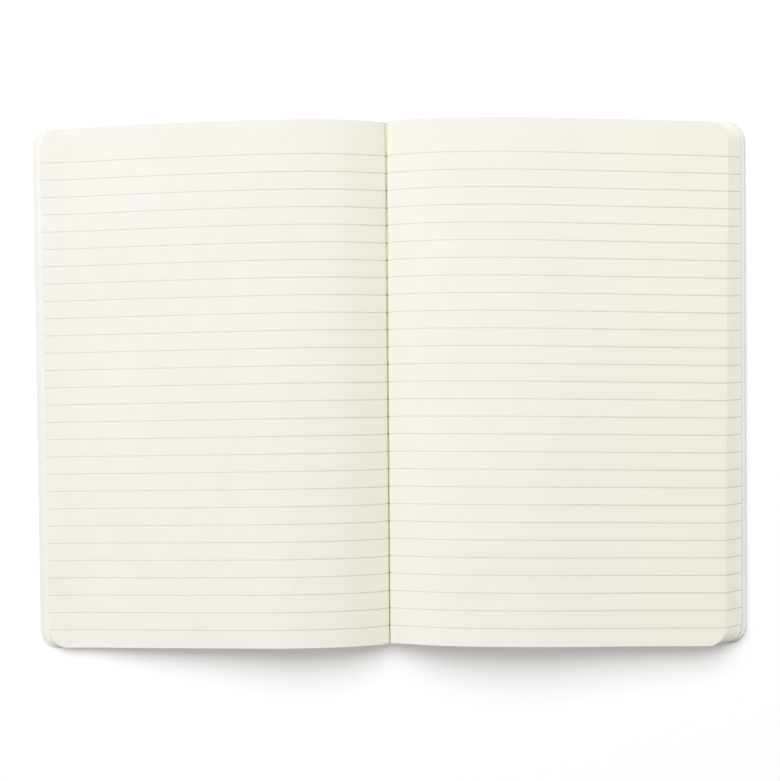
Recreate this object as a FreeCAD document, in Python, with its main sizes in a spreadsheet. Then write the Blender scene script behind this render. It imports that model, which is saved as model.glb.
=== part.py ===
import FreeCAD, Part
import Sketcher
from FreeCAD import Vector
import math
import os

# Open soft-covered notebook lying on a table, in millimetres.
# The gutter runs along Y with the head of the pages towards +Y. X crosses the spread, the left page
# towards -X. Z is up, and the origin is the middle of the spine's flat underside, on the table.

SIZES = [
    ("page_height", 210.0, "head to tail"),
    ("page_width", 139.2, "crease to fore-edge along the top leaf, half of a flat sheet"),
    ("fold_offset", 0.4, "how far the fold misses the middle of the sheet, so the left page is wider"),
    ("page_stack", 3.0, "the leaves of one half, pressed together"),
    ("card", 0.35, "thickness of the cover card"),
    ("cover_clearance", 0.3, "between the last leaf and the cover"),
    ("spine_press", 0.25, "how far the round fold is pressed flat where it stands on the table"),
    ("corner_radius", 7.0, "rounded outer corners of leaves and covers"),
    ("crease_angle", 47.0, "degrees, how steeply the leaves leave the crease"),
    ("crease_run", 1.4, "straight run beside the crease"),
    ("bend_run", 4.6, "tight bend next to it"),
    ("left_bend_angle", 25.0, "degrees at the end of that bend"),
    ("left_rise_run", 18.0, "slow bend up to the crown"),
    ("left_rise_angle", 7.0, "degrees at its end"),
    ("left_crown_run", 32.0, "bend over the crown"),
    ("right_bend_angle", 24.0, "degrees at the end of the tight bend"),
    ("right_rise_run", 20.0, "slow bend up to the crown"),
    ("right_rise_angle", 8.0, "degrees at its end"),
    ("right_crown_run", 45.0, "bend over the crown"),
    ("left_upper_step", 1.6, "how far the middle leaves show past the top ones"),
    ("left_lower_step", 1.6, "how far the lowest leaves show past the middle ones"),
    ("left_cover_step", 1.4, "how far the cover shows past the lowest leaves"),
    ("right_upper_step", 5.2, "how far the middle leaves show past the top ones"),
    ("right_lower_step", 2.2, "how far the lowest leaves show past the middle ones"),
    ("right_cover_step", 1.2, "how far the cover shows past the lowest leaves"),
    ("right_upper_gap", 1.0, "air that lifts the top leaves off the middle ones at the fore-edge"),
    ("right_middle_gap", 1.8, "air that lifts the middle leaves off the lowest ones"),
    ("right_lower_gap", 1.2, "air that lifts the lowest leaves off the cover"),
    ("hinge_offset", 1.0, "crease to the cover's fold, along the slope"),
    ("hinge_gap", 0.12, "between the rounded edge of a cover and the spine strip"),
    ("stitch", 7.0, "length of one stitch of the seam through the fold"),
    ("stitch_pairs", 13, "inside stitches of the seam"),
    ("thread_width", 0.5, "sewing thread, across the fold"),
    ("thread_depth", 0.2, "sewing thread, pressed flat"),
]

LEAF_GROUPS = 3
SIDES = {"left": -1, "right": 1}

doc = FreeCAD.newDocument("open_notebook")
sheet = doc.addObject("Spreadsheet::Sheet", "Sizes")
for line, (alias, value, note) in enumerate(SIZES, start=1):
    sheet.set(f"A{line}", alias)
    sheet.set(f"B{line}", str(value))
    sheet.set(f"C{line}", note)
    sheet.setAlias(f"B{line}", alias)
doc.recompute()


def size(alias):
    return float(sheet.get(alias))


half_height = size("page_height") / 2
cover_inside = size("page_stack") + size("cover_clearance")
cover_outside = cover_inside + size("card")
crease_height = cover_outside - size("spine_press")


def down(point, slope, depth):
    """The point that lies depth under a point of a leaf which runs at this slope."""
    return (point[0] + depth * math.sin(slope), point[1] - depth * math.cos(slope))


def after_bend(point, slope, run, new_slope):
    """End of a round bend of this length that eases the slope."""
    radius = run / (slope - new_slope)
    return (point[0] + radius * (math.sin(slope) - math.sin(new_slope)),
            point[1] + radius * (math.cos(new_slope) - math.cos(slope)))


def arch(side, end_slope):
    """Points and slopes of the top leaf's arch, from the crease to where its last straight run starts."""
    slope = math.radians(size("crease_angle"))
    start = (0.0, crease_height)
    run = size("crease_run")
    point = (run * math.cos(slope), start[1] + run * math.sin(slope))
    nodes = [(start, slope), (point, slope)]
    bends = [(size("bend_run"), math.radians(size(f"{side}_bend_angle"))),
             (size(f"{side}_rise_run"), math.radians(size(f"{side}_rise_angle"))),
             (size(f"{side}_crown_run"), end_slope)]
    for run, new_slope in bends:
        point = after_bend(point, slope, run, new_slope)
        slope = new_slope
        nodes.append((point, slope))
    return nodes


def height_at(nodes, depth, x):
    """Height of the last straight run, depth under the arch, at x from the gutter."""
    (px, pz), slope = down(nodes[-1][0], nodes[-1][1], depth), nodes[-1][1]
    return pz + (x - px) * math.tan(slope)


def fore_edge(side, nodes):
    """How far from the gutter the fore-edge of a leaf on this arch reaches."""
    curved = size("crease_run") + size("bend_run") + size(f"{side}_rise_run") + size(f"{side}_crown_run")
    (x, _), slope = nodes[-1]
    width = size("page_width") - SIDES[side] * size("fold_offset")
    return x + (width - curved) * math.cos(slope)


def settled_arch(side, shortfall):
    """The arch whose last run has the slope that brings shortfall to nothing, found by halving."""
    low, high = math.radians(-45), math.radians(size(f"{side}_rise_angle") - 0.5)
    for _ in range(60):
        middle = (low + high) / 2
        if shortfall(arch(side, middle)) > 0:
            low = middle
        else:
            high = middle
    return arch(side, middle)


def fold_flat(depth):
    """Half width of the flat that the table presses on the round fold."""
    return math.sqrt(depth ** 2 - (depth - size("spine_press")) ** 2)


def vector(side, point, y=0.0):
    return Vector(SIDES[side] * point[0], y, point[1])


def arc_edge(side, start, middle, end):
    return Part.Arc(*(vector(side, point) for point in (start, middle, end))).toShape()


def line_edge(side, start, end):
    return Part.makeLine(vector(side, start), vector(side, end))


def fold_edges(side, depth):
    """Half of the fold, wrapped round the crease: from the middle of its flat to the straight run."""
    slope = math.radians(size("crease_angle"))
    crease = (0.0, crease_height)
    flat_slope = math.asin(fold_flat(depth) / depth)
    corner, middle, end = (down(crease, at, depth) for at in (flat_slope, (flat_slope + slope) / 2, slope))
    return [line_edge(side, (0.0, corner[1]), corner), arc_edge(side, corner, middle, end)]


def arch_edges(side, nodes, depth, reach):
    """The arch at this depth, from the crease side to its fore-edge at reach."""
    edges = []
    for (point, slope), (next_point, next_slope) in zip(nodes, nodes[1:]):
        start, end = down(point, slope, depth), down(next_point, next_slope, depth)
        if slope == next_slope:
            edges.append(line_edge(side, start, end))
            continue
        half_slope = (slope + next_slope) / 2
        run = math.dist(point, next_point) / 2 / math.sin((slope - next_slope) / 2) * (slope - half_slope)
        middle = down(after_bend(point, slope, run, half_slope), half_slope, depth)
        edges.append(arc_edge(side, start, middle, end))
    edges.append(line_edge(side, end, (reach, height_at(nodes, depth, reach))))
    return edges


def slab(edges):
    """A closed outline across the gutter, drawn out from tail to head."""
    wire = Part.Wire(Part.__sortEdges__(edges))
    solid = Part.Face(wire).extrude(Vector(0, size("page_height"), 0))
    solid.translate(Vector(0, -half_height, 0))
    return solid


def corner_waste(side, reach, floor_points):
    """What is cut off the two outer corners of a leaf group, down to the line through floor_points."""
    radius = size("corner_radius")
    margin = 1.0
    ceiling = 4 * (crease_height + radius)
    (x0, z0), (x1, z1) = floor_points
    slope = (z1 - z0) / (x1 - x0)
    inner, outer = reach - radius, reach + margin
    outline = [(inner, z0 + (inner - x0) * slope), (outer, z0 + (outer - x0) * slope),
               (outer, ceiling), (inner, ceiling)]
    face = Part.Face(Part.makePolygon([vector(side, point) for point in outline + outline[:1]]))
    pieces = []
    for end in (-1, 1):
        bar = face.extrude(Vector(0, end * (radius + margin), 0))
        bar.translate(Vector(0, end * (half_height - radius), 0))
        foot = vector(side, (inner, -ceiling / 2), end * (half_height - radius))
        round_keep = Part.makeCylinder(radius, 2 * ceiling, foot)
        pieces.append(bar.cut(round_keep))
    return pieces


def half(side):
    """Everything that shapes one half: its two arches and the reach and share of each leaf group."""
    steps = [size(f"{side}_upper_step"), size(f"{side}_lower_step")]
    overhang = sum(steps) + size(f"{side}_cover_step")
    under = settled_arch(side, lambda nodes: -height_at(nodes, cover_outside,
                                                        fore_edge(side, nodes) + overhang))
    group = size("page_stack") / LEAF_GROUPS
    gaps = [0.0] * LEAF_GROUPS
    if side == "right":
        gaps = [size(f"right_{name}_gap") for name in ("upper", "middle", "lower")]
    lift = sum(gaps)
    lifted_height = height_at(under, 0.0, fore_edge(side, under)) + lift
    top = settled_arch(side, lambda nodes: lifted_height - height_at(nodes, 0.0, fore_edge(side, nodes)))
    reaches = [fore_edge(side, top)]
    for step in steps:
        reaches.append(reaches[-1] + step)
    whole = size("page_stack") + lift
    shares = [sum(group + gap for gap in gaps[:count]) / whole for count in range(LEAF_GROUPS + 1)]
    cover_reach = fore_edge(side, under) + overhang
    return {"reaches": reaches, "cover_reach": cover_reach, "under": under, "top": top, "shares": shares}


halves = {side: half(side) for side in SIDES}


def layer_height(shape, share, x):
    """Height of a layer near the fore-edge: share 0 is the top leaf, 1 the underside of the last."""
    top = height_at(shape["top"], 0.0, x)
    bottom = height_at(shape["under"], size("page_stack"), x)
    return top + (bottom - top) * share


def make_pages(thread):
    """All leaves as one block, stepped at its fore-edges and open under both arches."""
    edges = []
    for side, shape in halves.items():
        reaches, shares = shape["reaches"], shape["shares"]
        edges += fold_edges(side, size("page_stack"))
        edges += arch_edges(side, shape["under"], size("page_stack"), reaches[-1])
        edges += arch_edges(side, shape["top"], 0.0, reaches[0])
        for group, reach in enumerate(reaches):
            low = (reach, layer_height(shape, shares[group + 1], reach))
            edges.append(line_edge(side, (reach, layer_height(shape, shares[group], reach)), low))
            if group + 1 < LEAF_GROUPS:
                beyond = reaches[group + 1]
                edges.append(line_edge(side, low, (beyond, layer_height(shape, shares[group + 1], beyond))))
    block = slab(edges)
    for side, shape in halves.items():
        for group, reach in enumerate(shape["reaches"]):
            inner = reach - size("corner_radius")
            sink = crease_height if group + 1 == LEAF_GROUPS else 0.0
            floor_points = [(x, layer_height(shape, shape["shares"][group + 1], x) - sink)
                            for x in (inner, reach)]
            for waste in corner_waste(side, reach, floor_points):
                block = block.cut(waste)
    return block.cut(thread)


def hinge_point(side):
    """Middle of the card where the cover folds away from the spine strip."""
    slope = math.radians(size("crease_angle"))
    along = size("hinge_offset")
    point = (along * math.cos(slope), crease_height + along * math.sin(slope))
    return down(point, slope, cover_inside + size("card") / 2)


def make_cover(side):
    """A cover: one sheet of card that follows its arch down to the table."""
    shape = halves[side]
    slope = math.radians(size("crease_angle"))
    reach = shape["cover_reach"]
    centre = hinge_point(side)
    inner, outer = (down(centre, slope, depth * size("card") / 2) for depth in (-1, 1))
    rim = (centre[0] - size("card") / 2 * math.cos(slope), centre[1] - size("card") / 2 * math.sin(slope))
    edges = [arc_edge(side, inner, rim, outer)]
    ends = []
    for start, depth in ((inner, cover_inside), (outer, cover_outside)):
        skin = arch_edges(side, shape["under"], depth, reach)[1:]
        second = down(shape["under"][1][0], slope, depth)
        edges += [line_edge(side, start, second)] + skin
        ends.append((reach, height_at(shape["under"], depth, reach)))
    edges.append(line_edge(side, *ends))
    sheet_of_card = slab(edges)
    below = [(x, -crease_height) for x in (reach - size("corner_radius"), reach)]
    for waste in corner_waste(side, reach, below):
        sheet_of_card = sheet_of_card.cut(waste)
    return sheet_of_card


def make_spine(thread):
    """The strip of the cover that is sewn to the fold, pressed flat underneath."""
    slope = math.radians(size("crease_angle"))
    along = size("hinge_offset") - size("card") / 2 - size("hinge_gap")
    edges = []
    for side in SIDES:
        ends = []
        for depth in (cover_inside, cover_outside):
            start = down((0.0, crease_height), slope, depth)
            end = (start[0] + along * math.cos(slope), start[1] + along * math.sin(slope))
            edges += fold_edges(side, depth) + [line_edge(side, start, end)]
            ends.append(end)
        edges.append(line_edge(side, *ends))
    return slab(edges).cut(thread)


def origin_plane(body, role):
    return next(plane for plane in body.Origin.OriginFeatures if plane.Role == role)


def make_thread():
    """One thread, stitched in and out along the fold: a pair of stitches, repeated along Y."""
    body = doc.addObject("PartDesign::Body", "sewing_thread")
    body.Label = "sewing_thread"
    sketch = body.newObject("Sketcher::SketchObject", "stitch_pair")
    sketch.AttachmentSupport = [(origin_plane(body, "YZ_Plane"), "")]
    sketch.MapMode = "FlatFace"
    depth, run = size("thread_depth"), size("stitch")
    crease = "Sizes.page_stack + Sizes.cover_clearance + Sizes.card - Sizes.spine_press"
    along = {
        "start": (-run, "-Sizes.stitch"),
        "leg": (depth, "Sizes.thread_depth"),
        "leg_back": (-depth, "-Sizes.thread_depth"),
        "next_leg": (run - depth, "Sizes.stitch - Sizes.thread_depth"),
        "next_leg_back": (run + depth, "Sizes.stitch + Sizes.thread_depth"),
    }
    up = {
        "table": (0.0, None),
        "outside": (depth, "Sizes.thread_depth"),
        "inside": (crease_height, crease),
        "inside_top": (crease_height + depth, f"{crease} + Sizes.thread_depth"),
    }
    corners = [("start", "table"), ("leg", "table"), ("leg", "inside"), ("next_leg", "inside"),
               ("next_leg", "table"), ("next_leg_back", "table"), ("next_leg_back", "inside_top"),
               ("leg_back", "inside_top"), ("leg_back", "outside"), ("start", "outside")]
    places = [Vector(along[y][0], up[z][0], 0) for y, z in corners]
    for here, after in zip(places, places[1:] + places[:1]):
        sketch.addGeometry(Part.LineSegment(here, after), False)
    origin, horizontal_axis, first_end, second_end = -1, -1, 1, 2
    for line, (y, z) in enumerate(corners):
        before = (line - 1) % len(corners)
        sketch.addConstraint(Sketcher.Constraint("Coincident", before, second_end, line, first_end))
        value, formula = along[y]
        number = sketch.addConstraint(Sketcher.Constraint("DistanceX", origin, first_end, line, first_end, value))
        sketch.setExpression(f"Constraints[{number}]", formula)
        value, formula = up[z]
        if formula is None:
            sketch.addConstraint(Sketcher.Constraint("PointOnObject", line, first_end, horizontal_axis))
            continue
        number = sketch.addConstraint(Sketcher.Constraint("DistanceY", origin, first_end, line, first_end, value))
        sketch.setExpression(f"Constraints[{number}]", formula)
    pad = body.newObject("PartDesign::Pad", "stitch_pad")
    pad.Profile = sketch
    pad.Midplane = True
    pad.setExpression("Length", "Sizes.thread_width")
    doc.recompute()
    pattern = body.newObject("PartDesign::LinearPattern", "seam")
    pattern.Originals = [pad]
    pattern.Direction = (origin_plane(body, "Y_Axis"), [""])
    pattern.setExpression("Length", "2 * Sizes.stitch * (Sizes.stitch_pairs - 1)")
    pattern.setExpression("Occurrences", "Sizes.stitch_pairs")
    body.Tip = pattern
    body.setExpression(".Placement.Base.y", "-Sizes.stitch * (Sizes.stitch_pairs - 1) - Sizes.stitch / 2")
    doc.recompute()
    return body


def add_part(name, shape):
    item = doc.addObject("Part::Feature", name)
    item.Label = name
    item.Shape = shape.removeSplitter()
    item.Placement = FreeCAD.Placement()
    return item


seam = make_thread()
nodes = [
    add_part("pages", make_pages(seam.Shape)),
    add_part("cover_spine", make_spine(seam.Shape)),
    add_part("front_cover", make_cover("left")),
    add_part("back_cover", make_cover("right")),
    seam,
]
doc.recompute()

for item in doc.Objects:
    if "Invalid" in item.State or "Error" in item.State:
        raise RuntimeError(f"{item.Label} did not compute")
for item in nodes:
    if item.Shape.isNull() or not item.Shape.isValid() or len(item.Shape.Solids) != 1:
        raise RuntimeError(f"{item.Label} is not one valid solid")

os.makedirs("parts", exist_ok=True)
for item in nodes:
    item.Shape.exportStep(f"parts/{item.Label}.step")
    box = item.Shape.BoundBox
    print(f"{item.Label}: {item.Shape.Volume / 1000:.2f} cm3, x {box.XMin:.2f} to {box.XMax:.2f}, "
          f"y {box.YMin:.2f} to {box.YMax:.2f}, z {box.ZMin:.3f} to {box.ZMax:.3f}")
for side in SIDES:
    x, z = hinge_point(side)
    print(f"{side} hinge at x {SIDES[side] * x:.4f}, z {z:.4f}")
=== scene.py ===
import math

import bpy
import numpy as np
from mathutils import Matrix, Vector


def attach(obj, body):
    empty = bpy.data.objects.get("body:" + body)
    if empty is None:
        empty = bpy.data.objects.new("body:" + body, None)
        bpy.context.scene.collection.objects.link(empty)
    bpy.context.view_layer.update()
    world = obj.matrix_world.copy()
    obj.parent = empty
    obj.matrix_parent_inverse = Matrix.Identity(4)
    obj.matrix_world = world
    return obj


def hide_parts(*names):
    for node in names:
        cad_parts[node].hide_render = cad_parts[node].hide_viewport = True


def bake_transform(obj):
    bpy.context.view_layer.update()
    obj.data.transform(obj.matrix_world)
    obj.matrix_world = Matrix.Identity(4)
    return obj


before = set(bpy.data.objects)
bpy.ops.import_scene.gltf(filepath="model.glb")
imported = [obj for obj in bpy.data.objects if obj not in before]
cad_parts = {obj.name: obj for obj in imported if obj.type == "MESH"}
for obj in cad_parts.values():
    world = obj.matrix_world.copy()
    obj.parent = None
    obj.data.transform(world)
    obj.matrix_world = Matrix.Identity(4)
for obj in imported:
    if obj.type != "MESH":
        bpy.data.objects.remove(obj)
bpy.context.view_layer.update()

# Lengths in this script are millimetres, as in the part's source, and become metres when a mesh is made.
# Lengths inside the materials, the floor and the lamp are metres.
MM = 0.001
SIDES = {"left": -1, "right": 1}

# The part's own sizes.
PAGE_HEIGHT = 210.0
PAGE_WIDTH = 139.2
FOLD_OFFSET = 0.4
PAGE_STACK = 3.0
CARD = 0.35
COVER_CLEARANCE = 0.3
SPINE_PRESS = 0.25
CORNER_RADIUS = 7.0
CREASE_ANGLE = 47.0
CREASE_RUN = 1.4
BEND_RUN = 4.6
BEND_ANGLE = {"left": 25.0, "right": 24.0}
RISE_RUN = {"left": 18.0, "right": 20.0}
RISE_ANGLE = {"left": 7.0, "right": 8.0}
CROWN_RUN = {"left": 32.0, "right": 45.0}
END_ANGLE = {"left": -5.69, "right": -6.98}
STITCH = 7.0
STITCH_PAIRS = 13

HALF_HEIGHT = PAGE_HEIGHT / 2
COVER_INSIDE = PAGE_STACK + COVER_CLEARANCE
COVER_OUTSIDE = COVER_INSIDE + CARD
CREASE_HEIGHT = COVER_OUTSIDE - SPINE_PRESS
# How steeply each half comes down to its fore-edge, in radians.
END_SLOPE = {side: math.radians(-angle) for side, angle in END_ANGLE.items()}

# The leaves of one half, top leaf first. The last two are plain endpapers; the cover counts as one more.
LEAVES = 30
ENDPAPERS = 2
COVER_NUMBER = LEAVES
LEAF_PITCH = 0.099
LEAF_THICKNESS = 0.085
FIRST_DEPTH = 0.03
# The fore-edge is fanned out: at these leaves, how far the leaf stands out past the top one.
FAN = {"left": ((0, 27, 28, 29), (1.6, 1.8, 4.3, 4.5)),
       "right": ((0, 2, 17, 19, 27, 28, 29), (-0.4, 0.2, 4.6, 4.9, 6.6, 8.1, 8.3))}
FAN_UNEVEN = 0.1
# Air under each of the fanned leaves on the right, and under the last ruled leaf and the last endpaper.
FAN_AIR = 0.06
AIR_SHARES = (0.6, 1.4)
FAN_LEAVES = 18
LOWER_AIR = 0.5
# The share by which a lifted fore-edge stands higher at the tail, and lower at the head.
TAIL_AIR = 0.22
# How far each cover's fore-edge is lifted, stands out past the page, and passes the leaves at head and tail.
COVER_LIFT = {"left": 0.0, "right": 0.8}
COVER_STEP = {"left": 5.8, "right": 8.9}
COVER_BEYOND = {"left": 0.25, "right": 0.6}
BEYOND_RUN = (0.0, 12.0)

# How each half turns in plan, away from the gutter: how steeply its lines fall, and between which
# distances from the gutter that turn sets in.
FALL = {"left": (0.0107, 15.0, 42.0), "right": (0.0177, 10.0, 60.0)}
# At these leaves, the share of that fall which the leaf takes, and how far its fore-edge splays, in mm
# for each mm along the page.
TURN_LEAVES = (0, 18, 28, 30)
FALL_SHARE = {"left": (1.0, 1.0, 1.1, 1.1), "right": (1.0, 0.8, 0.7, 0.6)}
SPLAY = {"left": (0.0110, 0.0110, 0.0100, 0.0098), "right": (0.0153, 0.0100, 0.0060, 0.0044)}
SPLAY_RUN = (2.0, 60.0)
# The two halves are slipped against each other along the gutter, and the whole towards the head.
GUTTER_STEP = 0.2
GUTTER_RUN = (0.0, 4.0)
HEAD_SHIFT = 0.27
# The left leaves are pressed closer together towards their fore-edge.
PRESSED = {"left": 0.24, "right": 0.0}
PRESSED_RUN = (70, 125)
# The card's least height over the table, and how much of a lift on the slope also goes outwards.
TABLE_GAP = 0.01
LIFT_OUTWARDS = 0.8

# Two swellings of each half: a height that turns over from tail to head, and one that stays. Each has
# the distances from the gutter where it sets in and where it fades out.
TURNING = {"left": (-0.8, (35, 75), (95, 135)), "right": (0.6, (8, 35), (60, 110))}
STEADY = {"left": (-1.7, (96, 138), (130, 152)), "right": (-0.5, (15, 50), (80, 130))}

# The centre sheet alone is pinched into a narrow slot before it opens: distances and slopes of its wall.
PINCH_RUN = (0.0, 1.6, 1.9, 3.2, 6.0)
PINCH_ANGLE = (82.0, 81.0, 34.0, 27.0, 24.0)
# How strongly it is pinched: distances from the tail, and the share at each.
PINCH_PLACES = (0.0, 60.0, 75.0, 100.0, 122.0, 135.0, 158.0, 182.0, 195.0, 210.0)
PINCH_SHARES = (1.0, 0.96, 0.86, 0.96, 0.78, 0.9, 0.66, 0.88, 0.74, 0.46)
PINCH_FADE = (3.0, 12.0)

# Ruling: from the head edge to the first line, between lines, how many there are, and how wide.
FIRST_LINE = 13.77
LINE_PITCH = 7.0
LINES = 28
LINE_WIDTH = 0.42

random = np.random.default_rng(21)


# The arch of each half

def smooth(value, start, end):
    """0 before start, 1 after end, and an even turn between them."""
    t = np.clip((value - start) / (end - start), 0.0, 1.0)
    return t * t * (3 - 2 * t)


def hump(value, rise, drop):
    """1 between the two runs, falling evenly to 0 outside them."""
    return smooth(value, *rise) * (1 - smooth(value, *drop))


TABLE_STEP = 0.05
TABLE_REACH = 170.0


def walk(slopes):
    """x and z along a line from the crease, from its slope at each step of the table."""
    x = np.concatenate([[0.0], np.cumsum(np.cos(slopes) * TABLE_STEP)[:-1]])
    z = CREASE_HEIGHT + np.concatenate([[0.0], np.cumsum(np.sin(slopes) * TABLE_STEP)[:-1]])
    return x, z


def base_arch(side):
    """Fine table of the under arch: distance along it, x, z and slope."""
    runs = [CREASE_RUN, BEND_RUN, RISE_RUN[side], CROWN_RUN[side]]
    angles = [CREASE_ANGLE, CREASE_ANGLE, BEND_ANGLE[side], RISE_ANGLE[side], END_ANGLE[side]]
    knots, slopes = np.concatenate([[0.0], np.cumsum(runs)]), np.radians(angles)
    s = np.arange(0.0, TABLE_REACH, TABLE_STEP)
    x, z = walk(np.interp(s + TABLE_STEP / 2, knots, slopes))
    return s, x, z, np.interp(s, knots, slopes)


ARCHES = {side: base_arch(side) for side in SIDES}


def pinch_offset(side):
    """How far the pinched wall lies from the plain arch, in x and z, along the arch's table."""
    s, x, z, _ = ARCHES[side]
    pinched_x, pinched_z = walk(np.interp(s + TABLE_STEP / 2, PINCH_RUN, np.radians(PINCH_ANGLE)))
    return pinched_x - x, pinched_z - z


PINCH = {side: pinch_offset(side) for side in SIDES}


def lift_share(side, s):
    """How much of a gap at the fore-edge has opened at this distance from the crease."""
    start = CREASE_RUN + BEND_RUN + RISE_RUN[side]
    run = CROWN_RUN[side]
    inside = np.clip(s - start, 0.0, run) ** 2 / (2 * run)
    beyond = np.clip(s - start - run, 0.0, None)
    return (inside + beyond) / (run / 2 + PAGE_WIDTH - start - run)


def fall(side, x, number):
    """How far towards the tail the page has slipped at x from the gutter."""
    rate, start, end = FALL[side]
    inside = np.clip(x - start, 0.0, end - start) ** 2 / (2 * (end - start))
    share = np.interp(number, TURN_LEAVES, FALL_SHARE[side])
    return share * rate * (inside + np.clip(x - end, 0.0, None))


def swell(side, x, tail):
    """How far the arch stands above its plain section. tail is 1 at the tail and -1 at the head."""
    turning, *turning_runs = TURNING[side]
    steady, *steady_runs = STEADY[side]
    return turning * tail * hump(x, *turning_runs) + steady * hump(x, *steady_runs)


def place(side, depth, s, y, number, lift=0.0):
    """Points of leaf number's surface, depth under the arch, s from the crease and y from the middle."""
    table_s, table_x, table_z, table_slope = ARCHES[side]
    slope = np.interp(s, table_s, table_slope)
    x = np.interp(s, table_s, table_x) + depth * np.sin(slope)
    z = np.interp(s, table_s, table_z) - depth * np.cos(slope)
    if number == 0:
        share = np.interp(y + HALF_HEIGHT, PINCH_PLACES, PINCH_SHARES) * (1 - smooth(s, *PINCH_FADE))
        x = x + share * np.interp(s, table_s, PINCH[side][0])
        z = z + share * np.interp(s, table_s, PINCH[side][1])
    above = COVER_OUTSIDE - depth
    closer = PRESSED[side] * smooth(s, *PRESSED_RUN)
    z = z + swell(side, x, -y / HALF_HEIGHT) - closer * above
    z = np.maximum(z, TABLE_GAP + (1 - closer) * above)
    opened = lift_share(side, s) * lift
    z = z + opened
    x = x + opened * END_SLOPE[side] * LIFT_OUTWARDS
    x = x + np.interp(number, TURN_LEAVES, SPLAY[side]) * y * smooth(s, *SPLAY_RUN)
    y = y - fall(side, x, number) + SIDES[side] * GUTTER_STEP * smooth(x, *GUTTER_RUN) + HEAD_SHIFT
    return np.stack([SIDES[side] * x, y, z], -1)


def wrap(side, depth, turn, y, pressed):
    """Points of the fold round the crease: turn 0 is straight down, 1 is the crease angle."""
    angle = math.radians(CREASE_ANGLE) * turn
    x = depth * np.sin(angle)
    z = CREASE_HEIGHT - depth * np.cos(angle)
    if pressed:
        z = np.maximum(z, CREASE_HEIGHT - depth + SPINE_PRESS)
    else:
        z = z + depth * SPINE_PRESS / COVER_OUTSIDE * (1 - turn ** 2)
    return np.stack([SIDES[side] * x, y + HEAD_SHIFT, z], -1)


def half_height_at(s, width):
    """Half height of a leaf at this distance along it: its outer corners are rounded."""
    inward = np.clip(s - (width - CORNER_RADIUS), 0.0, CORNER_RADIUS)
    return HALF_HEIGHT - CORNER_RADIUS + np.sqrt(CORNER_RADIUS ** 2 - inward ** 2)


# Columns of points: close together by the gutter, where the paper bends most, and round the corners.
NEAR_COLUMNS = (0.0, 0.3, 0.6, 0.9, 1.2, 1.45, 1.6, 1.7, 1.8, 1.9, 2.1, 2.4, 2.8, 3.6, 4.6, 6.0, 7.5, 9.5,
                12.0, 15.0)
CROWN_START = 18.0
FLAT_WIDER = 1.6
CORNER_TURNS = (15, 30, 45, 60, 72, 82, 90)


def columns(side, width, crown_step):
    """Distances along a leaf at which it has a column of points."""
    crown_end = CREASE_RUN + BEND_RUN + RISE_RUN[side] + CROWN_RUN[side]
    crown = np.linspace(CROWN_START, crown_end, max(3, int((crown_end - CROWN_START) / crown_step)))
    flat_end = width - CORNER_RADIUS
    flat_count = max(3, int((flat_end - crown_end) / (FLAT_WIDER * crown_step)))
    flat = np.linspace(crown_end, flat_end, flat_count)[1:]
    corner = flat_end + CORNER_RADIUS * np.sin(np.radians(CORNER_TURNS))
    return np.concatenate([NEAR_COLUMNS, crown, flat, corner])


# Thin slabs

SHEET_SHARP, THREAD_SHARP = 40, 50


class Sheet:
    """Collects closed thin slabs into one mesh, with page coordinates and the bake's own map."""

    def __init__(self):
        self.points, self.faces, self.page, self.kind, self.map = [], [], [], [], []
        self.count = 0

    def add(self, top, bottom, page, cell_top, cell_bottom, cell_rim):
        """A slab from two grids of points. page gives each grid point's place on the flat page."""
        rows, cols = top.shape[:2]
        size = rows * cols
        first = self.count
        self.points += [top.reshape(-1, 3), bottom.reshape(-1, 3)]
        self.count += 2 * size
        index = np.arange(size).reshape(rows, cols)
        flat_page = page.reshape(-1, 2)
        low, high = flat_page.min(0), flat_page.max(0)
        share = (flat_page - low) / (high - low)

        def quad(corners, side_of, kind, box, places):
            """One face: corners of the grids, 0 or 1 for the top or bottom grid, and its place in a box."""
            self.faces.append([first + size * k + index[c] for k, c in zip(side_of, corners)])
            self.page.append([flat_page[index[c]] for c in corners])
            self.kind.append(kind)
            self.map.append([(box[0] + p[0] * (box[2] - box[0]), box[1] + p[1] * (box[3] - box[1]))
                             for p in places])

        for r in range(rows - 1):
            for c in range(cols - 1):
                ring = [(r, c), (r, c + 1), (r + 1, c + 1), (r + 1, c)]
                places = [share[index[p]] for p in ring]
                quad(ring, (0, 0, 0, 0), 0, cell_top, places)
                quad(ring[::-1], (1, 1, 1, 1), 0, cell_bottom, places[::-1])
        border = [(0, c) for c in range(cols)] + [(r, cols - 1) for r in range(1, rows)]
        border += [(rows - 1, c) for c in range(cols - 2, -1, -1)] + [(r, 0) for r in range(rows - 2, 0, -1)]
        around = len(border)
        for k in range(around):
            here, after = border[k], border[(k + 1) % around]
            a, b = k / around, (k + 1) / around
            places = [(b, 1.0), (a, 1.0), (a, 0.0), (b, 0.0)]
            quad([after, here, here, after], (0, 0, 1, 1), 1, cell_rim, places)

    def build(self, name, materials):
        """The finished piece. The first material is its faces', and the second its rims'."""
        mesh = bpy.data.meshes.new(name)
        points = np.concatenate(self.points) * MM
        mesh.from_pydata(points.tolist(), [], self.faces)
        page_map = mesh.uv_layers.new(name="page")
        bake_map = mesh.uv_layers.new(name="OFBake")
        page_map.data.foreach_set("uv", (np.array(self.page) * MM).ravel())
        bake_map.data.foreach_set("uv", np.array(self.map).ravel())
        for material in materials:
            mesh.materials.append(material)
        mesh.polygons.foreach_set("material_index", self.kind)
        return link_piece(name, mesh, SHEET_SHARP)


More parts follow.
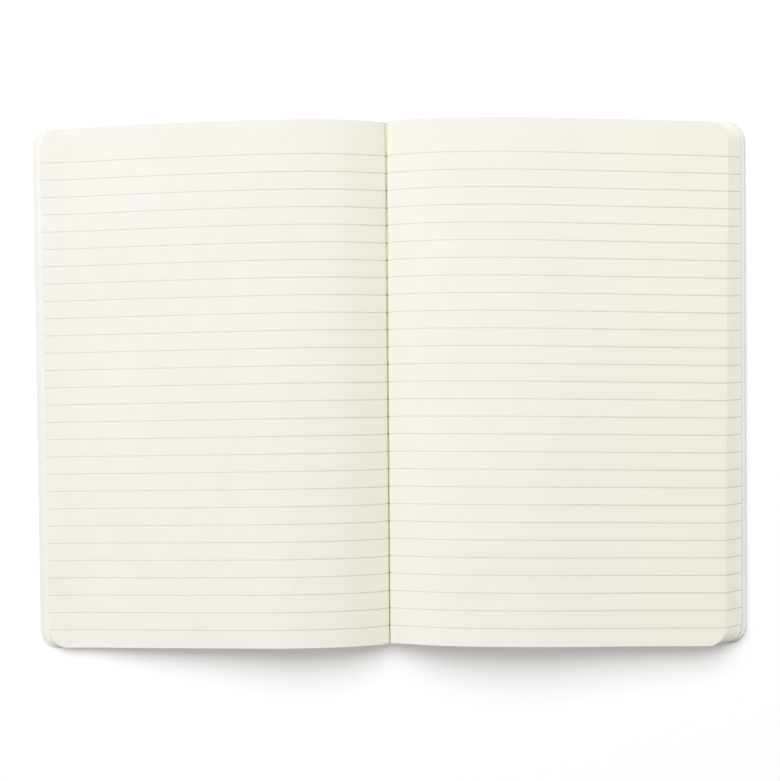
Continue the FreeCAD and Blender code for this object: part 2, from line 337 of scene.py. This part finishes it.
def link_piece(name, mesh, sharp_degrees):
    """Puts a mesh in the scene as a smooth piece. Edges that turn by more than sharp_degrees stay sharp."""
    mesh.shade_smooth()
    mesh.set_sharp_from_angle(angle=math.radians(sharp_degrees))
    mesh.update()
    piece = bpy.data.objects.new(name, mesh)
    bpy.context.scene.collection.objects.link(piece)
    return piece


# The leaves

def leaf_widths(number):
    """Width of both halves of a sheet, from the crease."""
    depth = FIRST_DEPTH + LEAF_PITCH * number
    widths = {}
    for side, sign in SIDES.items():
        uneven = random.uniform(-FAN_UNEVEN, FAN_UNEVEN) if number else 0.0
        step = np.interp(number, *FAN[side]) + uneven
        slope = END_SLOPE[side]
        widths[side] = PAGE_WIDTH - sign * FOLD_OFFSET + step / math.cos(slope) + depth * slope
    return widths


def gap_table():
    """Air that each leaf has over the next one at the fore-edge: side, leaf."""
    air = {side: np.zeros(LEAVES) for side in SIDES}
    air["right"][:FAN_LEAVES] = FAN_AIR * random.uniform(*AIR_SHARES, FAN_LEAVES)
    air["right"][LEAVES - ENDPAPERS - 1] = LOWER_AIR
    air["right"][LEAVES - 1] = LOWER_AIR
    return air


GAPS = gap_table()


def leaf_lift(side, number, y):
    """How far a leaf's fore-edge is lifted by the air under it; the gaps are wider at the tail."""
    total = GAPS[side][number:].sum() + COVER_LIFT[side]
    return total * (1 - TAIL_AIR * y / HALF_HEIGHT)


ROW_SPREAD = 0.86
FOLD_TURNS = np.array([0.75, 0.5, 0.25])
FOLD_ON_PAGE = -0.02


def half_face(side, number, depth, width, crown_step, rows):
    """One face of half a sheet, from the fold outwards: its points, and their places on the flat page."""
    s = columns(side, width, crown_step)
    y = rows[:, None] * half_height_at(s, width)[None, :]
    spread = np.broadcast_to(s[None, :], y.shape)
    leaf = place(side, depth, spread, y, number, leaf_lift(side, number, y))
    fold_y = np.broadcast_to(rows[:, None] * HALF_HEIGHT, (len(rows), len(FOLD_TURNS)))
    fold = wrap(side, depth, np.broadcast_to(FOLD_TURNS, fold_y.shape), fold_y, False)
    leaf_page = np.stack([SIDES[side] * spread, y], -1)
    fold_x = np.broadcast_to(SIDES[side] * FOLD_ON_PAGE * (1 - FOLD_TURNS), fold_y.shape)
    fold_page = np.stack([fold_x, fold_y], -1)
    return np.concatenate([fold[:, ::-1], leaf], 1), np.concatenate([fold_page[:, ::-1], leaf_page], 1)


def sheet_grid(number, widths, crown_step, row_count):
    """Top and bottom points of one folded sheet, from the left fore-edge over the fold to the right."""
    rows = np.sin(np.linspace(-1, 1, row_count) * math.pi / 2 * ROW_SPREAD)
    rows = rows / rows[-1]
    middle_y = rows[:, None] * HALF_HEIGHT
    nothing = np.zeros_like(middle_y)
    upper = FIRST_DEPTH + LEAF_PITCH * number
    grids = []
    for depth in (upper, upper + LEAF_THICKNESS):
        left, right = (half_face(side, number, depth, widths[side], crown_step, rows) for side in SIDES)
        under = wrap("right", depth, nothing, middle_y, False)
        grids.append(np.concatenate([left[0][:, ::-1], under, right[0]], 1))
    middle_page = np.stack([nothing, middle_y], -1)
    page = np.concatenate([left[1][:, ::-1], middle_page, right[1]], 1)
    return grids[0], grids[1], page


# The bake's map: the first sheet's top face below, then the hidden faces, then the rims in strips.
TOP_CELL = (0.005, 0.005, 0.995, 0.745)
HIDDEN_FROM, HIDDEN_HIGH = 0.76, 0.2
RIMS_FROM, RIMS_HIGH = 0.967, 0.03
CELL_MARGIN = 0.003
RIM_FILLED = 0.7
CELL_SHAPE = 2.2


def small_cells(count):
    """Boxes on the bake's map for the surfaces that other leaves hide."""
    wide = max(1, math.ceil(math.sqrt(count * CELL_SHAPE)))
    high = math.ceil(count / wide)
    boxes = []
    for k in range(count):
        left = k % wide / wide
        low = HIDDEN_FROM + HIDDEN_HIGH * (k // wide) / high
        boxes.append((left + CELL_MARGIN, low + CELL_MARGIN,
                      left + 1 / wide - CELL_MARGIN, low + HIDDEN_HIGH / high - CELL_MARGIN))
    return boxes


def make_leaves(name, numbers, materials, grid, nodes=()):
    """A piece made of some of the sheets. grid is the spacing of its columns and its number of rows."""
    sheet = Sheet()
    cells = small_cells(2 * len(numbers) - 1)
    rim_height = RIMS_HIGH / len(numbers)
    for k, number in enumerate(numbers):
        top, bottom, page = sheet_grid(number, leaf_widths(number), *grid)
        cell_top = TOP_CELL if k == 0 else cells[2 * k - 1]
        rim_low = RIMS_FROM + k * rim_height
        rim = (CELL_MARGIN, rim_low, 1 - CELL_MARGIN, rim_low + RIM_FILLED * rim_height)
        sheet.add(top, bottom, page, cell_top, cells[2 * k], rim)
    piece = sheet.build(name, materials)
    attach(piece, "page_block")
    if nodes:
        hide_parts(*nodes)


# Shader nodes

# Roughness and specular level of each finish.
FINISH = {"ruled_paper": (0.78, 0.25), "plain_paper": (0.75, 0.25), "cut_paper": (0.9, 0.15),
          "cover_card": (0.7, 0.3), "linen_thread": (0.85, 0.2)}


def new_material(name):
    """A material with one principled shader, for one of the finishes."""
    roughness, specular = FINISH[name]
    material = bpy.data.materials.new(name)
    material.use_nodes = True
    tree = material.node_tree
    tree.nodes.clear()
    output = tree.nodes.new("ShaderNodeOutputMaterial")
    shader = tree.nodes.new("ShaderNodeBsdfPrincipled")
    shader.inputs["Roughness"].default_value = roughness
    shader.inputs["Specular IOR Level"].default_value = specular
    tree.links.new(shader.outputs["BSDF"], output.inputs["Surface"])
    return material, tree, shader


def node(tree, kind, inputs=None, **settings):
    """A shader node, with sockets or plain values for its inputs."""
    made = tree.nodes.new(kind)
    for key, value in settings.items():
        setattr(made, key, value)
    for key, value in (inputs or {}).items():
        if isinstance(value, bpy.types.NodeSocket):
            tree.links.new(value, made.inputs[key])
        else:
            made.inputs[key].default_value = value
    return made


def calculate(tree, operation, *values):
    return node(tree, "ShaderNodeMath", dict(enumerate(values)), operation=operation).outputs[0]


def times(tree, first, *others):
    """Product of two or more values."""
    for value in others:
        first = calculate(tree, "MULTIPLY", first, value)
    return first


def weighted(tree, *pairs):
    """Sum of each value times its weight."""
    parts = [times(tree, value, weight) for value, weight in pairs]
    total = parts[0]
    for part in parts[1:]:
        total = calculate(tree, "ADD", total, part)
    return total


def noise(tree, vector, scale, detail, rough):
    inputs = {"Vector": vector, "Scale": scale, "Detail": detail, "Roughness": rough}
    return node(tree, "ShaderNodeTexNoise", inputs).outputs["Fac"]


def stretched(tree, vector, scale):
    """Coordinates scaled differently along each axis, for marks that run one way."""
    return node(tree, "ShaderNodeMapping", {"Vector": vector, "Scale": scale}).outputs["Vector"]


def ramp(tree, value, low, high, out_low, out_high):
    """out_low below low, out_high above high, and an even turn between them."""
    inputs = {"Value": value, "From Min": low, "From Max": high, "To Min": out_low, "To Max": out_high}
    return node(tree, "ShaderNodeMapRange", inputs, interpolation_type="SMOOTHSTEP").outputs["Result"]


def tint(tree, factor, colour, other, blend="MIX"):
    """colour, turned into other as far as factor says."""
    inputs = {0: factor, 6: colour, 7: other}
    return node(tree, "ShaderNodeMix", inputs, data_type="RGBA", blend_type=blend).outputs[2]


def bump(tree, shader, height, strength, distance):
    made = node(tree, "ShaderNodeBump", {"Strength": strength, "Distance": distance, "Height": height})
    tree.links.new(made.outputs["Normal"], shader.inputs["Normal"])


def linear(red, green, blue):
    """A colour written as the screen shows it, 0 to 255, for a shader socket."""
    def one(value):
        value /= 255
        return value / 12.92 if value <= 0.04045 else ((value + 0.055) / 1.055) ** 2.4
    return (one(red), one(green), one(blue), 1.0)


# Materials. A noise is given by its scale, detail and roughness, and a bump by its strength and its depth.

PAPER = (linear(249, 245, 240), linear(245, 241, 233))
ENDPAPER = (linear(244, 244, 239), linear(239, 239, 233))
# Painted shade: the left page turns more olive towards the fold, where it slopes away from the lamp.
PAINTED_SHADE_NEAR_FOLD = linear(247, 246, 230)
# Painted shade: the right page is darker just beside the fold.
PAINTED_SHADE_RIGHT_OF_FOLD = linear(242, 240, 228)
# Painted shade: the outer right page is tinted yellower, where it turns away from the light.
PAINTED_SHADE_RIGHT_OUTER = linear(248, 245, 233)
# Painted shade inside the fold, at the head and, more olive, at the tail.
PAINTED_FOLD_SHADE_AT_HEAD = linear(234, 234, 214)
PAINTED_FOLD_SHADE_AT_TAIL = linear(235, 233, 197)
CUT_STREAK = linear(228, 222, 206)
RULING = linear(218, 217, 213)
# Painted shade: the ruling is darkened where it runs into the fold.
FOLD_SHADE_ON_RULING = linear(150, 148, 108)
CARD_COLOURS = (linear(244, 244, 240), linear(239, 239, 234))
CARD_FLECK = linear(228, 224, 213)
THREAD_COLOURS = (linear(240, 235, 220), linear(214, 207, 186))

PAPER_CLOUDS, PAPER_SOFT, PAPER_FIBRES = (140.0, 4.0, 0.6), (22.0, 2.0, 0.5), (1500.0, 3.0, 0.65)
PAPER_FIBRE_STRETCH = (1.0, 3.2, 1.0)
INK_NOISE, INK_STRETCH = (900.0, 3.0, 0.6), (0.6, 4.0, 1.0)
CUT_NOISE, CUT_STRETCH = (420.0, 3.0, 0.6), (1.0, 1.0, 22.0)
CARD_CLOUDS, CARD_FIBRES, CARD_FELT = (90.0, 4.0, 0.6), (900.0, 4.0, 0.7), (2600.0, 2.0, 0.5)
CARD_FIBRE_STRETCH, FLECK_STRETCH = (1.0, 2.4, 1.0), (1.0, 0.35, 1.0)
FLECK_SCALE = 260.0
THREAD_FIBRES, THREAD_STRETCH = (5200.0, 3.0, 0.6), (1.0, 0.3, 1.0)
PAPER_BUMP, CUT_BUMP = (0.25, 0.00003), (0.4, 0.00003)
CARD_BUMP, THREAD_BUMP = (0.35, 0.00006), (0.5, 0.00005)

# Ramps: where a value starts and ends, and what it becomes there. Distances on the page are metres from
# the gutter, to the right, or from the middle, towards the head.
SHADE_SPAN = (0.3, 0.7, 0.0, 1.0)
INK_SPAN = (0.3, 0.62, 0.68, 0.96)
INK_LEFT = (-0.075, 0.0, 0.62, 1.0)
INK_RIGHT = (0.03, 0.115, 0.66, 1.0)
PAINTED_SHADE_NEAR_FOLD_SPAN = (-0.045, 0.0, 0.0, 1.0)
PAINTED_SHADE_OUTER_SPAN = (0.03, 0.11, 0.0, 0.75)
PAINTED_SHADE_RIGHT_OF_FOLD_SPAN = (0.002, 0.013, 1.0, 0.0)
# Where the painted fold shade lies, within about 2 mm of the fold, and how it turns from tail to head.
PAINTED_FOLD_SHADE_SPAN = (0.0002, 0.0022, 1.0, 0.0)
FOLD_SHADE_TAIL_TO_HEAD = (-0.03, 0.05, 0.0, 1.0)
STREAK_SPAN = (0.35, 0.7, 0.0, 0.45)
FLECK_SPAN = (0.04, 0.09, 0.5, 0.0)
LINE_SOFT = 0.4


def page_coordinates(tree):
    """Place on the flat page: to the right from the gutter, and towards the head from the middle."""
    return node(tree, "ShaderNodeUVMap", uv_map="page").outputs["UV"]


def object_coordinates(tree):
    return node(tree, "ShaderNodeTexCoord").outputs["Object"]


def paper_colour(tree, where, colours):
    """Uncoated paper: cloudy formation and short fibres."""
    clouds = noise(tree, where, *PAPER_CLOUDS)
    soft = noise(tree, where, *PAPER_SOFT)
    fibres = noise(tree, stretched(tree, where, PAPER_FIBRE_STRETCH), *PAPER_FIBRES)
    shade = weighted(tree, (clouds, 0.35), (soft, 0.35), (fibres, 0.3))
    light, deep = colours
    grain = weighted(tree, (fibres, 0.6), (clouds, 0.4))
    return tint(tree, ramp(tree, shade, *SHADE_SPAN), deep, light), grain


def ruled_lines(tree, height):
    """1 on a ruled line, 0 between the lines and above and below them."""
    first = (HALF_HEIGHT - FIRST_LINE) / LINE_PITCH
    number = calculate(tree, "MULTIPLY_ADD", height, -1 / (LINE_PITCH * MM), first)
    nearest = calculate(tree, "ROUND", number)
    away = calculate(tree, "ABSOLUTE", calculate(tree, "SUBTRACT", number, nearest))
    half = LINE_WIDTH / 2 / LINE_PITCH
    line = ramp(tree, away, half * (1 - LINE_SOFT), half * (1 + LINE_SOFT), 1.0, 0.0)
    after_first = calculate(tree, "GREATER_THAN", nearest, -0.5)
    before_last = calculate(tree, "LESS_THAN", nearest, LINES - 0.5)
    return times(tree, line, after_first, before_last)


def ink_strength(tree, where, across, is_right):
    """Uneven along each line, and fainter over the outer left page and the inner right page."""
    uneven = ramp(tree, noise(tree, stretched(tree, where, INK_STRETCH), *INK_NOISE), *INK_SPAN)
    left, right = ramp(tree, across, *INK_LEFT), ramp(tree, across, *INK_RIGHT)
    faded = node(tree, "ShaderNodeMix", {0: is_right, 2: left, 3: right}).outputs[0]
    return times(tree, uneven, faded)


def shaded_page(tree, colour, across, height, is_right, painted_fold_shade):
    """Painted shade of the gutter and the arch: the cream deepens towards the fold on the left, beside it and
    outwards on the right, and inside it, more olive at the tail.
    """
    is_left = calculate(tree, "SUBTRACT", 1.0, is_right)
    # Painted shade on the left page towards the fold.
    painted_shade_near_fold = times(tree, ramp(tree, across, *PAINTED_SHADE_NEAR_FOLD_SPAN), is_left)
    colour = tint(tree, painted_shade_near_fold, colour, PAINTED_SHADE_NEAR_FOLD)
    # Painted shade over the outer right page.
    colour = tint(tree, ramp(tree, across, *PAINTED_SHADE_OUTER_SPAN), colour, PAINTED_SHADE_RIGHT_OUTER)
    # Painted shade on the right page beside the fold.
    painted_shade_right_of_fold = times(tree, ramp(tree, across, *PAINTED_SHADE_RIGHT_OF_FOLD_SPAN), is_right)
    colour = tint(tree, painted_shade_right_of_fold, colour, PAINTED_SHADE_RIGHT_OF_FOLD)
    # Painted shade inside the fold.
    inside = tint(tree, ramp(tree, height, *FOLD_SHADE_TAIL_TO_HEAD), PAINTED_FOLD_SHADE_AT_TAIL, PAINTED_FOLD_SHADE_AT_HEAD)
    return tint(tree, painted_fold_shade, colour, inside)


def ruled_paper():
    """Paper with the ruling printed on it, for the faces of all leaves but the endpapers."""
    material, tree, shader = new_material("ruled_paper")
    where = page_coordinates(tree)
    colour, grain = paper_colour(tree, where, PAPER)
    parts = node(tree, "ShaderNodeSeparateXYZ", {"Vector": where})
    across, height = parts.outputs["X"], parts.outputs["Y"]
    is_right = calculate(tree, "GREATER_THAN", across, 0.0)
    # Where the painted fold shade lies.
    painted_fold_shade = ramp(tree, calculate(tree, "ABSOLUTE", across), *PAINTED_FOLD_SHADE_SPAN)
    colour = shaded_page(tree, colour, across, height, is_right, painted_fold_shade)
    line = ruled_lines(tree, height)
    ink = times(tree, line, ink_strength(tree, where, across, is_right))
    colour = tint(tree, ink, colour, RULING, "MULTIPLY")
    # Painted shade darkens the ruling inside the fold.
    colour = tint(tree, times(tree, line, painted_fold_shade), colour, FOLD_SHADE_ON_RULING)
    tree.links.new(colour, shader.inputs["Base Color"])
    bump(tree, shader, grain, *PAPER_BUMP)
    return material


def plain_paper():
    material, tree, shader = new_material("plain_paper")
    colour, grain = paper_colour(tree, page_coordinates(tree), ENDPAPER)
    tree.links.new(colour, shader.inputs["Base Color"])
    bump(tree, shader, grain, *PAPER_BUMP)
    return material


def cut_paper():
    """The cut edges of the leaves, with fine streaks along them."""
    material, tree, shader = new_material("cut_paper")
    where = object_coordinates(tree)
    colour, grain = paper_colour(tree, where, PAPER)
    streaks = noise(tree, stretched(tree, where, CUT_STRETCH), *CUT_NOISE)
    colour = tint(tree, ramp(tree, streaks, *STREAK_SPAN), colour, CUT_STREAK)
    tree.links.new(colour, shader.inputs["Base Color"])
    bump(tree, shader, grain, *CUT_BUMP)
    return material


def card_material():
    """Matt card: clouds, long fibres, a felted surface and a few darker flecks."""
    material, tree, shader = new_material("cover_card")
    where = page_coordinates(tree)
    clouds = noise(tree, where, *CARD_CLOUDS)
    fibres = noise(tree, stretched(tree, where, CARD_FIBRE_STRETCH), *CARD_FIBRES)
    felt = noise(tree, where, *CARD_FELT)
    light, deep = CARD_COLOURS
    shade = ramp(tree, weighted(tree, (clouds, 0.4), (fibres, 0.6)), *SHADE_SPAN)
    colour = tint(tree, shade, deep, light)
    flecks = node(tree, "ShaderNodeTexVoronoi", {"Vector": stretched(tree, where, FLECK_STRETCH),
                                                 "Scale": FLECK_SCALE, "Randomness": 1.0})
    colour = tint(tree, ramp(tree, flecks.outputs["Distance"], *FLECK_SPAN), colour, CARD_FLECK)
    tree.links.new(colour, shader.inputs["Base Color"])
    bump(tree, shader, weighted(tree, (fibres, 0.5), (felt, 0.5)), *CARD_BUMP)
    return material


def thread_material():
    material, tree, shader = new_material("linen_thread")
    fibres = noise(tree, stretched(tree, object_coordinates(tree), THREAD_STRETCH), *THREAD_FIBRES)
    light, deep = THREAD_COLOURS
    tree.links.new(tint(tree, ramp(tree, fibres, *SHADE_SPAN), deep, light), shader.inputs["Base Color"])
    bump(tree, shader, fibres, *THREAD_BUMP)
    return material


# The cover

# Where the card leaves the spine strip and where it starts to turn with its cover, from the crease.
HINGE_BAND = (0.55, 1.45)
HINGE_COLUMNS = 7
CLEAR_OF_BAND = 0.1
CARD_GRID = (4.0, 31)
COVER_CELLS = ((0.01, 0.01, 0.48, 0.93), (0.52, 0.01, 0.99, 0.93), (0.01, 0.95, 0.99, 0.99))
SPINE_CELLS = ((0.01, 0.01, 0.3, 0.99), (0.34, 0.01, 0.9, 0.99), (0.93, 0.01, 0.99, 0.99))
SPINE_ROWS = 241
SPINE_FLATS = 3
SPINE_TURNS = 18
# How much of a stitch's dent in the outside shows through on the inside.
DENT_THROUGH = 0.35


def make_cover(side, body, material):
    """A cover: its card runs on past the fold to meet the spine strip."""
    crown_step, row_count = CARD_GRID
    width = PAGE_WIDTH - SIDES[side] * FOLD_OFFSET + COVER_STEP[side] / math.cos(END_SLOPE[side])
    width += COVER_OUTSIDE * math.tan(END_SLOPE[side])
    s = columns(side, width, crown_step)
    beyond_band = s[s > HINGE_BAND[1] + CLEAR_OF_BAND]
    s = np.concatenate([np.linspace(*HINGE_BAND, HINGE_COLUMNS), beyond_band])
    heights = half_height_at(s, width) + COVER_BEYOND[side] * smooth(s, *BEYOND_RUN)
    y = np.linspace(-1, 1, row_count)[:, None] * heights[None, :]
    spread = np.broadcast_to(s[None, :], y.shape)
    grids = [place(side, depth, spread, y, COVER_NUMBER, COVER_LIFT[side])
             for depth in (COVER_INSIDE, COVER_OUTSIDE)]
    grids.append(np.stack([SIDES[side] * spread, y], -1))
    if side == "left":
        grids = [grid[:, ::-1] for grid in grids]
    sheet = Sheet()
    sheet.add(*grids, *COVER_CELLS)
    piece = sheet.build(body + "_card", [material, material])
    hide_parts(body)
    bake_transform(piece)


def spine_face(depth):
    """One face of the spine strip: flat, round the fold, and flat again, from left to right."""
    rows = np.linspace(-HALF_HEIGHT, HALF_HEIGHT, SPINE_ROWS)[:, None]
    straight = np.linspace(0.0, HINGE_BAND[0], SPINE_FLATS)
    turns = np.linspace(1.0, 0.0, SPINE_TURNS + 1)[1:]
    halves = {}
    for side in SIDES:
        flat_y = np.broadcast_to(rows, (SPINE_ROWS, len(straight)))
        flat = place(side, depth, np.broadcast_to(straight, flat_y.shape), flat_y, COVER_NUMBER)
        fold_y = np.broadcast_to(rows, (SPINE_ROWS, len(turns)))
        fold = wrap(side, depth, np.broadcast_to(turns, fold_y.shape), fold_y, True)
        halves[side] = np.concatenate([flat[:, ::-1], fold], 1)
    return np.concatenate([halves["left"], halves["right"][:, ::-1][:, 1:]], 1)


def make_spine(material):
    """The strip of card that is sewn to the fold, with the outside stitches pressed into it."""
    top, bottom = spine_face(COVER_INSIDE), spine_face(COVER_OUTSIDE)
    dent = stitch_dent(bottom[..., 0], bottom[..., 1])
    bottom[..., 2] += dent
    top[..., 2] += DENT_THROUGH * dent
    sheet = Sheet()
    sheet.add(top, bottom, top[..., :2], *SPINE_CELLS)
    piece = sheet.build("spine_card", [material, material])
    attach(piece, "page_block")
    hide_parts("cover_spine")


# The seam

THREAD_RADIUS = 0.11
# How much wider the thread is outside the spine, and between which heights it narrows again.
OUTSIDE_WIDTH = 2.0
OUTSIDE_RUN = (0.3, 1.2)
SEAM_START = -STITCH * (STITCH_PAIRS - 0.5)
INSIDE_ABOVE = 0.14
# Round each hole: where the thread starts to turn, where it is nearly upright, and how far it has risen.
HOLE_TURN = 0.35
HOLE_HALF = 0.08
HOLE_RISE = 0.12
# A stitch's dent: its depth, its fade to each side, and its fade past and before the stitch's ends.
DENT_DEPTH = 0.24
DENT_ACROSS = (0.12, 0.5)
DENT_OUTSIDE, DENT_WITHIN = 0.6, 0.1
# The thread's mesh, and the twist of its strands.
THREAD_STEP = 0.25
THREAD_AROUND = 15
STRANDS = 3
STRAND_DEPTH = 0.14
TWIST_PITCH = 1.1


def stitch_holes():
    """Where the thread passes through the fold, from tail to head."""
    return [SEAM_START + STITCH * k for k in range(2 * STITCH_PAIRS)]


def stitch_dent(x, y):
    """How deep the outside stitches are pressed into the spine strip."""
    dent = np.zeros_like(x)
    across = 1 - smooth(np.abs(x), *DENT_ACROSS)
    for end in stitch_holes()[::2]:
        start = end - STITCH
        along = hump(y, (start - DENT_OUTSIDE, start + DENT_WITHIN), (end - DENT_WITHIN, end + DENT_OUTSIDE))
        dent = np.maximum(dent, across * along * DENT_DEPTH)
    return dent


def seam_points():
    """The thread's way: along under the spine, up through the fold, along inside it and down again."""
    low = THREAD_RADIUS
    high = CREASE_HEIGHT + INSIDE_ABOVE
    holes = stitch_holes()
    points = [(holes[0] - STITCH, low)]
    for k, hole in enumerate(holes):
        going_up = k % 2 == 0
        before, after = (low, high) if going_up else (high, low)
        rise = HOLE_RISE if going_up else -HOLE_RISE
        points += [(hole - HOLE_TURN, before), (hole - HOLE_HALF, before + rise),
                   (hole, (before + after) / 2),
                   (hole + HOLE_HALF, after - rise), (hole + HOLE_TURN, after)]
    return points


def make_thread(material):
    """A twisted thread, swept along the seam. It lies flatter where it is pressed under the spine."""
    way = np.array(seam_points())
    steps = np.concatenate([[0.0], np.cumsum(np.hypot(*np.diff(way, axis=0).T))])
    s = np.arange(0.0, steps[-1], THREAD_STEP)
    y = np.interp(s, steps, way[:, 0])
    z = np.interp(s, steps, way[:, 1])
    tangent = np.stack([np.zeros_like(s), np.gradient(y, s), np.gradient(z, s)], -1)
    tangent /= np.linalg.norm(tangent, axis=1)[:, None]
    across = np.array([1.0, 0.0, 0.0])
    up = np.cross(across, tangent)
    angle = np.linspace(0, 2 * math.pi, THREAD_AROUND, endpoint=False)
    twist = s[:, None] / TWIST_PITCH * 2 * math.pi
    strands = np.cos(STRANDS * (angle[None, :] - twist))
    radius = THREAD_RADIUS * (1 - STRAND_DEPTH + STRAND_DEPTH * strands)
    centre = np.stack([np.zeros_like(s), y, z], -1)
    wide = 1 + (OUTSIDE_WIDTH - 1) * (1 - smooth(z, *OUTSIDE_RUN))[:, None]
    ring = (centre[:, None, :] + (wide * radius * np.cos(angle))[..., None] * across
            + (radius * np.sin(angle))[..., None] * up[:, None, :])
    index = np.arange(ring[..., 0].size).reshape(len(s), THREAD_AROUND).tolist()
    faces = [index[0], index[-1][::-1]]
    for here, after in zip(index, index[1:]):
        faces += [(after[k - 1], after[k], here[k], here[k - 1]) for k in range(THREAD_AROUND)]
    mesh = bpy.data.meshes.new("stitched_thread")
    mesh.from_pydata((ring.reshape(-1, 3) * MM).tolist(), [], faces)
    mesh.materials.append(material)
    piece = link_piece("stitched_thread", mesh, THREAD_SHARP)
    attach(piece, "page_block")
    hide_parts("sewing_thread")


# The pieces

ruled, plain, cut = ruled_paper(), plain_paper(), cut_paper()
card, linen = card_material(), thread_material()
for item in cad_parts.values():
    item.data.materials.clear()
    item.data.materials.append({"pages": ruled, "sewing_thread": linen}.get(item.name, card))

# Spacing of the columns on the crown, and the number of rows.
FINE_GRID, PLAIN_GRID = (2.0, 43), (5.0, 19)
FIRST_MIDDLE, FIRST_LOWER, FIRST_ENDPAPER = 10, 19, LEAVES - ENDPAPERS
make_leaves("centre_sheet", range(1), [ruled, cut], FINE_GRID, ["pages"])
make_leaves("upper_sheets", range(1, FIRST_MIDDLE), [ruled, cut], PLAIN_GRID)
make_leaves("middle_sheets", range(FIRST_MIDDLE, FIRST_LOWER), [ruled, cut], PLAIN_GRID)
make_leaves("lower_sheets", range(FIRST_LOWER, FIRST_ENDPAPER), [ruled, cut], PLAIN_GRID)
make_leaves("endpapers", range(FIRST_ENDPAPER, LEAVES), [plain, cut], PLAIN_GRID)
make_cover("left", "front_cover", card)
make_cover("right", "back_cover", card)
make_spine(card)
make_thread(linen)


# Floor, light and camera

FLOOR_HALF = 3.0
FLOOR_LEVEL = -0.0003
# The floor's own colour, and the slightly warm glow that only the camera sees, which keeps it white.
FLOOR_COLOUR = (0.8, 0.805, 0.82, 1.0)
GLOW_COLOUR = (1.0, 0.97, 0.89, 1.0)
GLOW = 0.285
WHITE = (1.0, 1.0, 1.0, 1.0)
WORLD_LIGHT = 0.21
LAMP_PLACE = (-0.54, 1.88, 2.25)
LAMP_SIZE = (3.75, 2.38)
LAMP_POWER = 118.8
CAMERA_PLACE = (0.8, -3.0, CREASE_HEIGHT + 525.0)
CAMERA_ROLL = 0.44
LENS = 59.9
SENSOR = 36.0


def camera_ray(tree):
    """1 for what the camera sees directly, 0 for light on its way."""
    return node(tree, "ShaderNodeLightPath").outputs["Is Camera Ray"]


def floor_material():
    material = bpy.data.materials.new("studio_floor")
    material.use_nodes = True
    tree = material.node_tree
    tree.nodes.clear()
    output = tree.nodes.new("ShaderNodeOutputMaterial")
    diffuse = node(tree, "ShaderNodeBsdfDiffuse", {"Color": FLOOR_COLOUR})
    strength = times(tree, camera_ray(tree), GLOW)
    glow = node(tree, "ShaderNodeEmission", {"Color": GLOW_COLOUR, "Strength": strength})
    both = node(tree, "ShaderNodeAddShader", {0: diffuse.outputs[0], 1: glow.outputs[0]})
    tree.links.new(both.outputs[0], output.inputs["Surface"])
    return material


def make_floor():
    mesh = bpy.data.meshes.new("floor")
    corners = [(x * FLOOR_HALF, y * FLOOR_HALF, FLOOR_LEVEL) for x, y in ((-1, -1), (1, -1), (1, 1), (-1, 1))]
    mesh.from_pydata(corners, [], [(0, 1, 2, 3)])
    mesh.materials.append(floor_material())
    floor = bpy.data.objects.new("floor", mesh)
    bpy.context.scene.collection.objects.link(floor)


def make_lamp():
    """One large soft lamp beyond the head, pointed at the notebook."""
    data = bpy.data.lights.new("head_light", "AREA")
    data.shape = "RECTANGLE"
    data.size, data.size_y = LAMP_SIZE
    data.energy = LAMP_POWER
    lamp = bpy.data.objects.new("head_light", data)
    bpy.context.scene.collection.objects.link(lamp)
    lamp.location = LAMP_PLACE
    lamp.rotation_mode = "QUATERNION"
    lamp.rotation_quaternion = (-Vector(LAMP_PLACE)).to_track_quat("-Z", "Y")


def make_world():
    """A low even light from all sides, seen as white by the camera."""
    world = bpy.data.worlds.new("studio")
    bpy.context.scene.world = world
    world.use_nodes = True
    tree = world.node_tree
    tree.nodes.clear()
    output = tree.nodes.new("ShaderNodeOutputWorld")
    strength = calculate(tree, "MULTIPLY_ADD", camera_ray(tree), 1.0 - WORLD_LIGHT, WORLD_LIGHT)
    background = node(tree, "ShaderNodeBackground", {"Color": WHITE, "Strength": strength})
    tree.links.new(background.outputs[0], output.inputs["Surface"])


def make_camera():
    """Straight down over the gutter, as the photograph was taken."""
    data = bpy.data.cameras.new("photo_view")
    data.lens = LENS
    data.sensor_width = SENSOR
    camera = bpy.data.objects.new("photo_view", data)
    bpy.context.scene.collection.objects.link(camera)
    camera.location = Vector(CAMERA_PLACE) * MM
    camera.rotation_euler = (0.0, 0.0, math.radians(-CAMERA_ROLL))
    bpy.context.scene.camera = camera


make_floor()
make_world()
make_lamp()
make_camera()
bpy.context.scene.view_settings.view_transform = "Standard"
